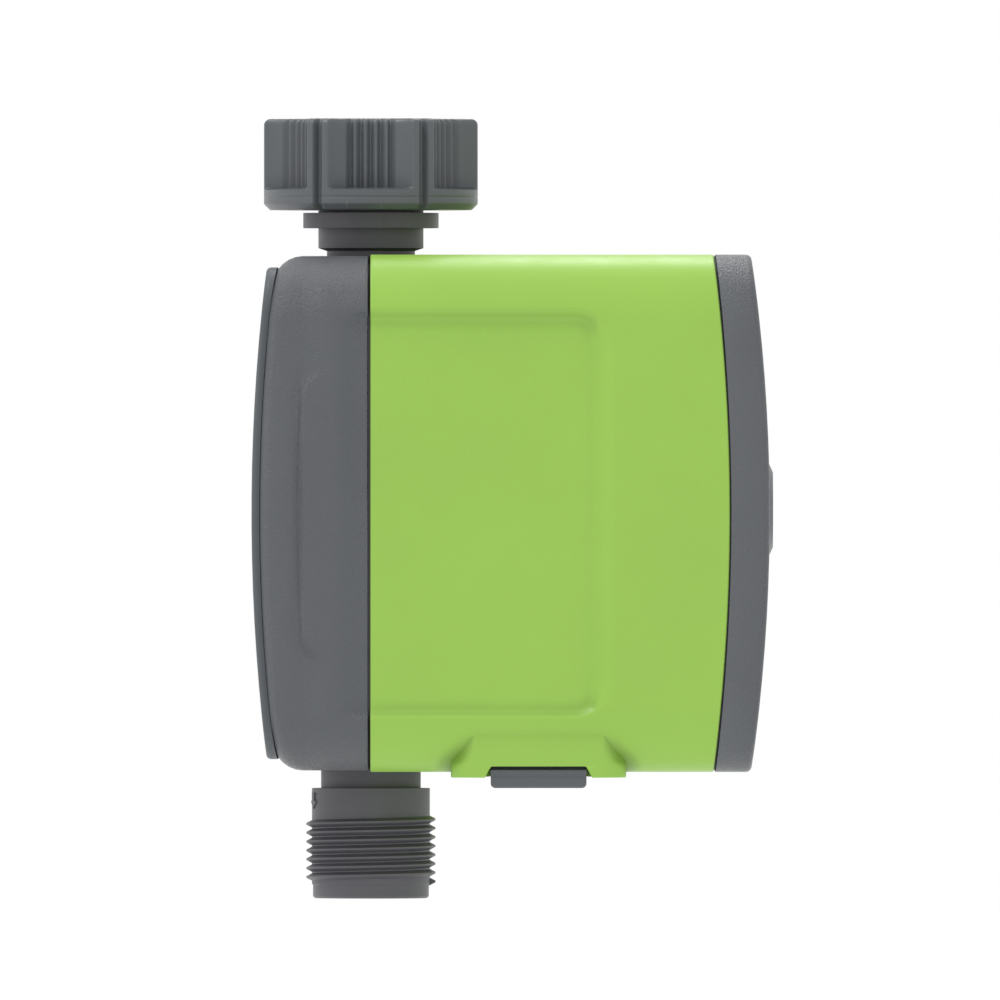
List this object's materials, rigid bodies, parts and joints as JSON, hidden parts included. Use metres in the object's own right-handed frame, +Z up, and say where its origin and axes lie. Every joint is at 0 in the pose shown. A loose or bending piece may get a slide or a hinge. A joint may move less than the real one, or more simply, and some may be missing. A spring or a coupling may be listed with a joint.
{
  "type": "drip irrigation timer",
  "caption": "Tap-mounted drip irrigation timer: swivel hose nut, motorised ball valve, split housing with battery tray, push button and threaded outlet.",
  "frame": {"origin": "on the water path's axis, 0.08 mm above the inlet washer's sealing face, where a tap's spout ends", "axes": "+Z up the water path towards the tap, +X towards the front cover and its button, +Y across the housing"},
  "size_m": [0.1064, 0.086, 0.1593],
  "materials": {
    "green_shell": "satin green ABS",
    "grey_shell": "fine-grained dark grey ABS",
    "panel_grey": "fine-grained dark grey ABS, a little darker",
    "nut_grey": "fine-grained grey nylon",
    "spigot_grey": "dark grey glass-filled nylon",
    "latch_grey": "satin grey nylon",
    "black_rubber": "matte",
    "filter_mesh": "black nylon",
    "valve_white": "natural acetal",
    "seat_ptfe": "waxy white",
    "ball_chrome": "polished",
    "brass": "turned",
    "gear_white": "natural acetal",
    "steel": "brushed",
    "zinc_screw": "zinc plated",
    "gearbox_black": "matte",
    "board_green": "solder mask",
    "chip_black": "moulded epoxy",
    "shield": "tinned",
    "capacitor_sleeve": "sleeve",
    "wire_red": "satin",
    "light_clear": "frosted clear",
    "led_green": "tinted epoxy",
    "cell_sleeve": "shrink sleeve",
    "contact": "nickel plated"
  },
  "bodies": {
    "housing": {"inlet_washer": "black_rubber", "inlet_spigot": "spigot_grey", "inlet_filter": "filter_mesh", "inlet_oring": "black_rubber", "valve_body": "valve_white", "upper_ball_seat": "seat_ptfe", "lower_ball_seat": "seat_ptfe", "outlet_spigot": "spigot_grey", "outlet_oring": "black_rubber", "valve_screws": "zinc_screw", "gear_axles": "steel", "gearbox_base": "gearbox_black", "gearbox_cover": "gearbox_black", "gearbox_screws": "zinc_screw", "motor_can": "steel", "motor_leads": "wire_red", "rear_shell": "grey_shell", "housing_screws": "zinc_screw", "rear_panel": "panel_grey", "rear_gasket": "black_rubber", "front_gasket": "black_rubber", "mid_housing": "green_shell", "cover_screws": "zinc_screw", "front_cover": "grey_shell", "circuit_board": "board_green", "board_screws": "zinc_screw", "tact_switch": "chip_black", "status_led": "led_green", "light_pipe": "light_clear", "radio_module": "shield", "control_chip": "chip_black", "backup_capacitor": "capacitor_sleeve", "battery_leads": "wire_red", "button_seal": "black_rubber", "bay_contacts": "contact"},
    "nut": {"inlet_nut": "nut_grey"},
    "button": {"front_button": "grey_shell"},
    "plunger": {"switch_plunger": "chip_black"},
    "valve_core": {"ball": "ball_chrome", "valve_stem": "brass", "stem_oring": "black_rubber", "output_gear": "gear_white"},
    "second_gear": {"compound_gear_second": "gear_white"},
    "first_gear": {"compound_gear_first": "gear_white"},
    "motor_rotor": {"motor_pinion": "brass", "motor_shaft": "steel"},
    "tray": {"battery_tray": "gearbox_black", "battery_door": "green_shell", "battery_door_seal": "black_rubber", "battery_cell_1": "cell_sleeve", "battery_cell_2": "cell_sleeve", "battery_cell_3": "cell_sleeve", "battery_cell_4": "cell_sleeve", "battery_contacts": "contact", "latch_pins": "steel"},
    "right_latch": {"latch_right": "latch_grey"},
    "left_latch": {"latch_left": "latch_grey"}
  },
  "joints": [
    {"name": "nut_swivel", "type": "hinge", "parent": "housing", "child": "nut", "pos_m": [0, 0, 0], "axis": [0, 0, 1], "continuous": true},
    {"name": "button_press", "type": "slide", "parent": "housing", "child": "button", "axis": [-1, 0, 0], "range_m": [0, 0.0005], "stiffness_N_per_m": 1500, "springref_m": -0.0003},
    {"name": "plunger_press", "type": "slide", "parent": "housing", "child": "plunger", "axis": [-1, 0, 0], "range_m": [0, 0.0005]},
    {"name": "valve_turn", "type": "hinge", "parent": "housing", "child": "valve_core", "pos_m": [0, 0, -0.0531], "axis": [1, 0, 0], "range_deg": [0, 90]},
    {"name": "second_gear_spin", "type": "hinge", "parent": "housing", "child": "second_gear", "pos_m": [0, 0.0144, -0.0531], "axis": [1, 0, 0], "range_deg": [-270, 0]},
    {"name": "first_gear_spin", "type": "hinge", "parent": "housing", "child": "first_gear", "pos_m": [0, 0, -0.0531], "axis": [1, 0, 0], "range_deg": [0, 810]},
    {"name": "motor_spin", "type": "hinge", "parent": "housing", "child": "motor_rotor", "pos_m": [0, -0.0144, -0.0531], "axis": [1, 0, 0], "range_deg": [-2430, 0]},
    {"name": "tray_slide", "type": "slide", "parent": "housing", "child": "tray", "axis": [0, 0, -1], "range_m": [0, 0.036]},
    {"name": "right_latch_pinch", "type": "hinge", "parent": "tray", "child": "right_latch", "pos_m": [0.03425, -0.0364, -0.109], "axis": [1, 0, 0], "range_deg": [0, 5], "stiffness_Nm_per_rad": 1.2, "springref_deg": -1.72},
    {"name": "left_latch_pinch", "type": "hinge", "parent": "tray", "child": "left_latch", "pos_m": [0.03425, 0.0364, -0.109], "axis": [-1, 0, 0], "range_deg": [0, 5], "stiffness_Nm_per_rad": 1.2, "springref_deg": -1.72}
  ],
  "couplings": [
    {"joint": "plunger_press", "follows": "button_press", "ratio": 1},
    {"joint": "second_gear_spin", "follows": "valve_turn", "ratio": -3},
    {"joint": "first_gear_spin", "follows": "valve_turn", "ratio": 9},
    {"joint": "motor_spin", "follows": "valve_turn", "ratio": -27}
  ]
}
